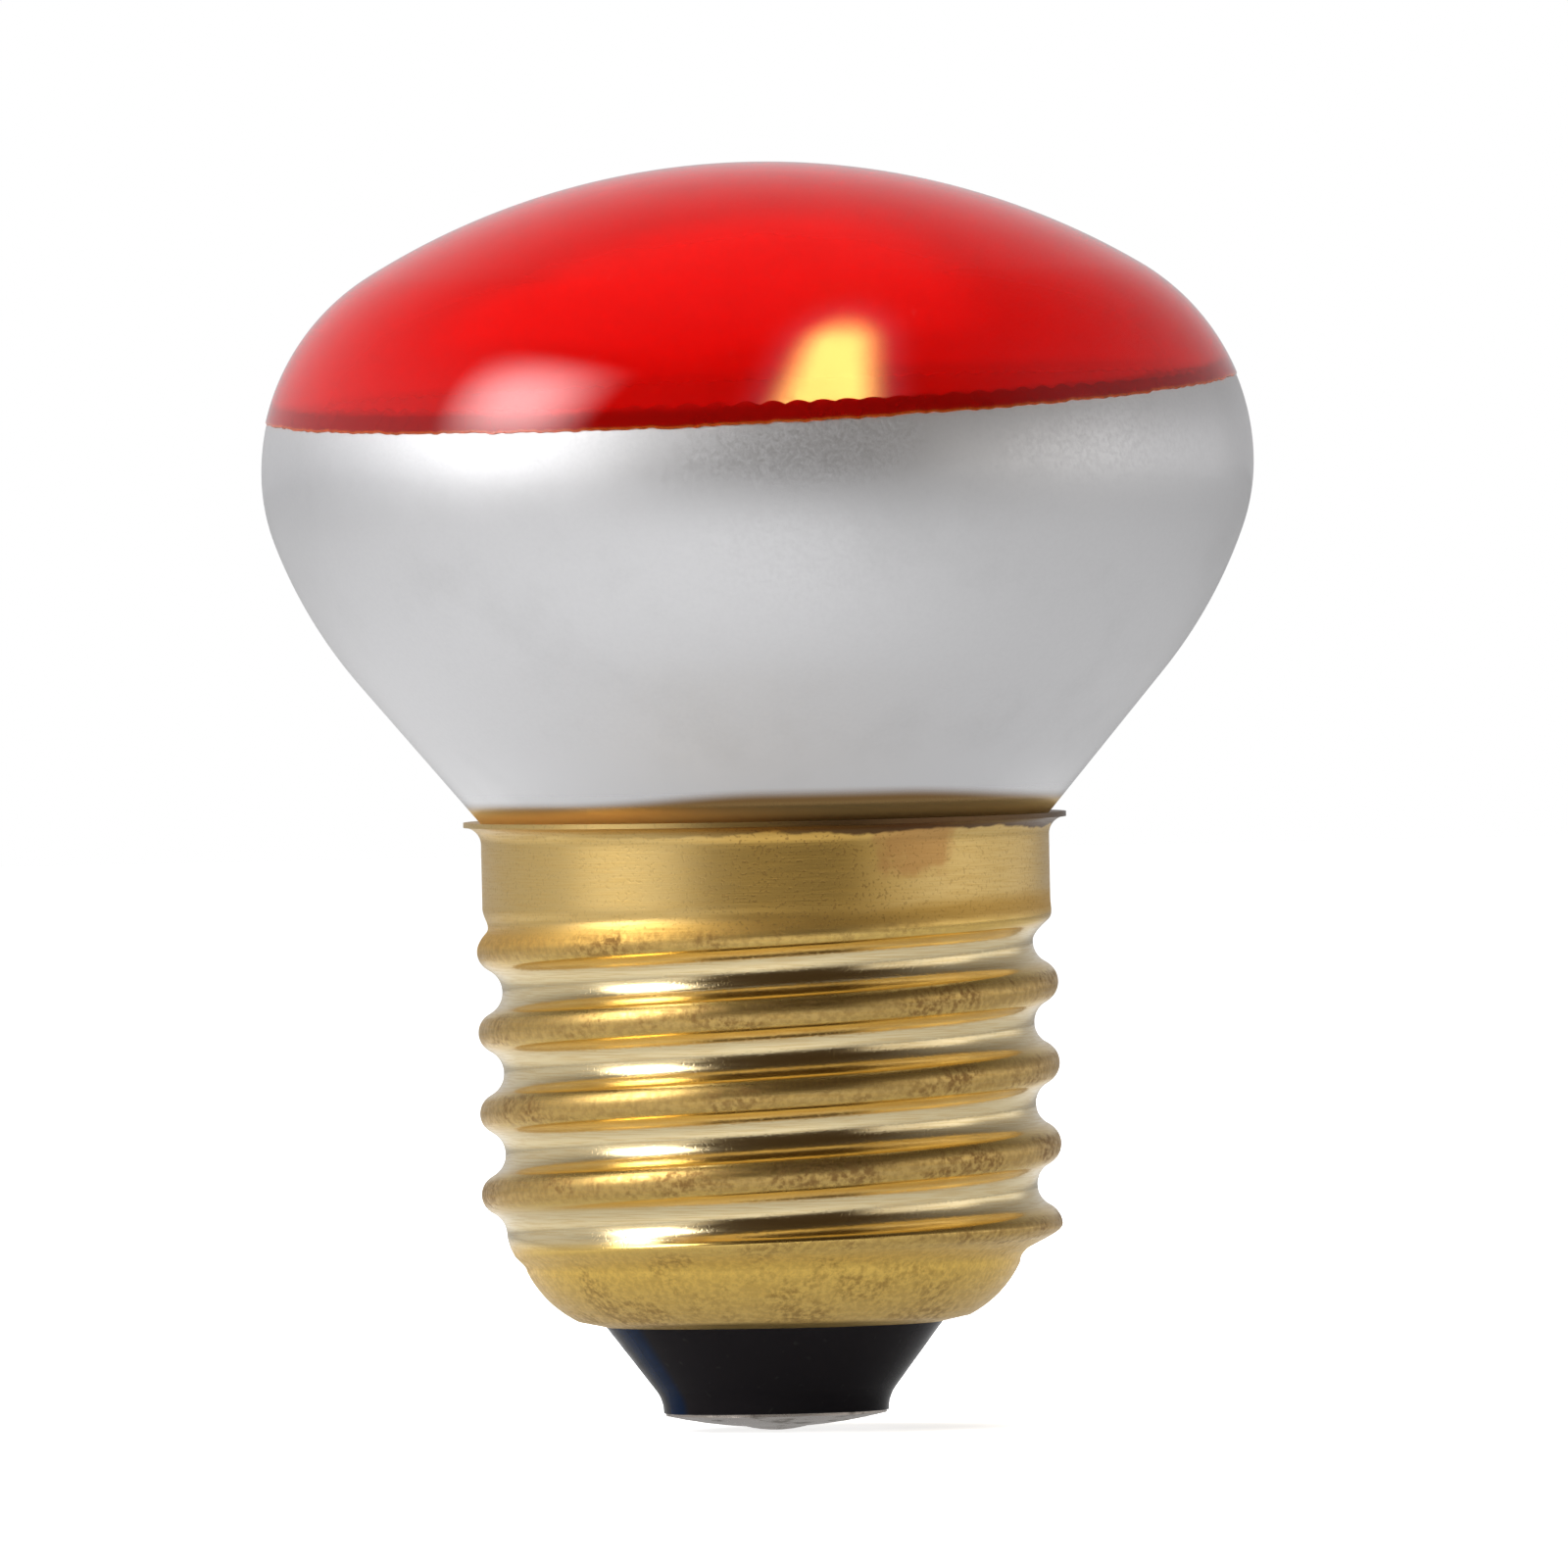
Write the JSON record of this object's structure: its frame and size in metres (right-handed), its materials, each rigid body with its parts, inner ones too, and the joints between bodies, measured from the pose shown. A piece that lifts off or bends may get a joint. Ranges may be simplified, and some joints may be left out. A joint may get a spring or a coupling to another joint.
{
  "type": "infrared basking bulb",
  "caption": "Mushroom-shaped reflector bulb with a clear red dome, a silvered lower half and a brass screw base, for a warm basking spot.",
  "frame": {"origin": "lowest point of the contact at the tip, on the lamp's axis", "axes": "+Z along the axis from the contact to the top of the red dome; +Y towards the solder on the rim, the side away from the camera"},
  "size_m": [0.0444, 0.0444, 0.0568],
  "materials": {
    "silvered_glass": "clear blown glass, silvered inside its lower half",
    "red_lacquer": "clear red, glossy",
    "clear_glass": "clear",
    "nickel": "drawn wire",
    "tungsten": "drawn wire, coiled",
    "copper": "drawn wire",
    "brass": "rolled sheet, satin, tarnished in places",
    "cement": "baked, matt",
    "black_glass": "cast, glossy",
    "tin": "tinned, dull"
  },
  "bodies": {
    "root": {"glass_envelope": "silvered_glass", "red_lacquer": "red_lacquer", "stem": "clear_glass", "centre_post": "nickel", "side_post": "nickel", "filament": "tungsten", "filament_support": "tungsten", "centre_lead": "copper", "side_lead": "copper", "screw_shell": "brass", "basing_cement": "cement", "insulator": "black_glass", "centre_contact": "tin", "tip_solder": "tin", "side_solder": "tin"}
  },
  "joints": []
}
